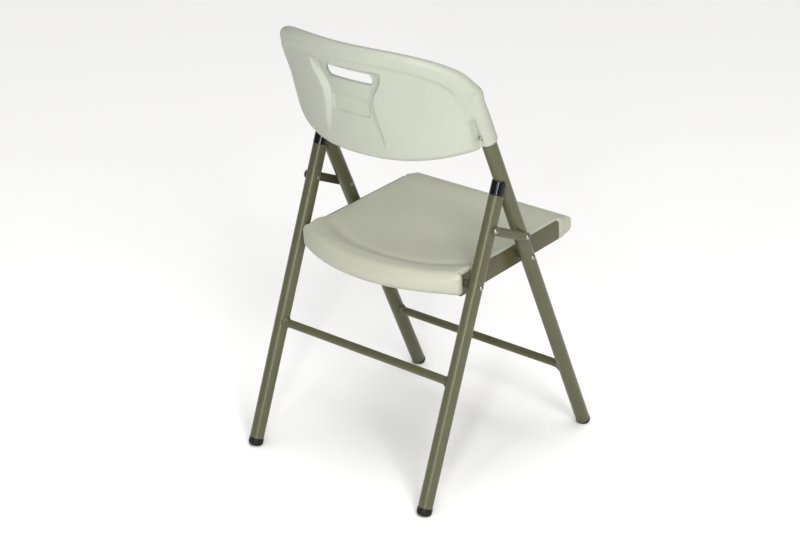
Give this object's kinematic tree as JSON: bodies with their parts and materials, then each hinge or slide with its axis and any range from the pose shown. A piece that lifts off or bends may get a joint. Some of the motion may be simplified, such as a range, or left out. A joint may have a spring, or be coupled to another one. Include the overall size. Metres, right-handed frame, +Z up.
{
  "type": "folding chair",
  "caption": "Folding chair with a moulded seat, a curved moulded backrest with a hand slot and crossing round steel legs joined by side links.",
  "frame": {"origin": "centre of the chair's outline on the floor", "axes": "+Z up, the sitter faces -Y, the sitter's left is +X"},
  "size_m": [0.4718, 0.5255, 0.859],
  "materials": {
    "tube_steel": "satin",
    "crossbar_steel": "satin",
    "rail_steel": "satin",
    "link_steel": "satin",
    "seat_plastic": "textured",
    "backrest_plastic": "textured",
    "cap_plastic": "gloss",
    "foot_rubber": "matte",
    "bush_plastic": "matte",
    "zinc_steel": "bright",
    "dark_steel": "dark zinc"
  },
  "bodies": {
    "front_frame": {"front_tube_left": "tube_steel", "front_tube_right": "tube_steel", "front_crossbar": "crossbar_steel", "front_foot_left": "foot_rubber", "front_foot_right": "foot_rubber", "backrest_panel": "backrest_plastic", "backrest_screws": "zinc_steel", "seat_pivot_rivets": "zinc_steel", "seat_pivot_spacers": "bush_plastic", "link_front_rivets": "zinc_steel"},
    "seat": {"seat_panel": "seat_plastic", "seat_rail_left": "rail_steel", "seat_rail_right": "rail_steel", "seat_screws": "dark_steel"},
    "rear_legs": {"rear_tube_left": "tube_steel", "rear_tube_right": "tube_steel", "rear_crossbar": "crossbar_steel", "rear_cap_left": "cap_plastic", "rear_cap_right": "cap_plastic", "rear_foot_left": "foot_rubber", "rear_foot_right": "foot_rubber", "rear_seat_rivets": "zinc_steel", "rear_seat_spacers": "bush_plastic", "link_rear_tails": "zinc_steel"},
    "link_pair": {"link_left": "link_steel", "link_right": "link_steel", "link_rear_heads": "zinc_steel"}
  },
  "joints": [
    {"name": "seat_fold", "type": "hinge", "parent": "front_frame", "child": "seat", "pos_m": [0, -0.04822, 0.42253], "axis": [-1, 0, 0], "range_deg": [0, 100]},
    {"name": "rear_leg_fold", "type": "hinge", "parent": "seat", "child": "rear_legs", "pos_m": [0, 0.10637, 0.4111], "axis": [1, 0, 0], "range_deg": [0, 56]},
    {"name": "link_fold", "type": "hinge", "parent": "front_frame", "child": "link_pair", "pos_m": [0, -0.02466, 0.47156], "axis": [-1, 0, 0], "range_deg": [0, 122]}
  ],
  "couplings": [
    {"joint": "rear_leg_fold", "follows": "seat_fold", "ratio": 0.55},
    {"joint": "link_fold", "follows": "seat_fold", "ratio": 1.216}
  ]
}
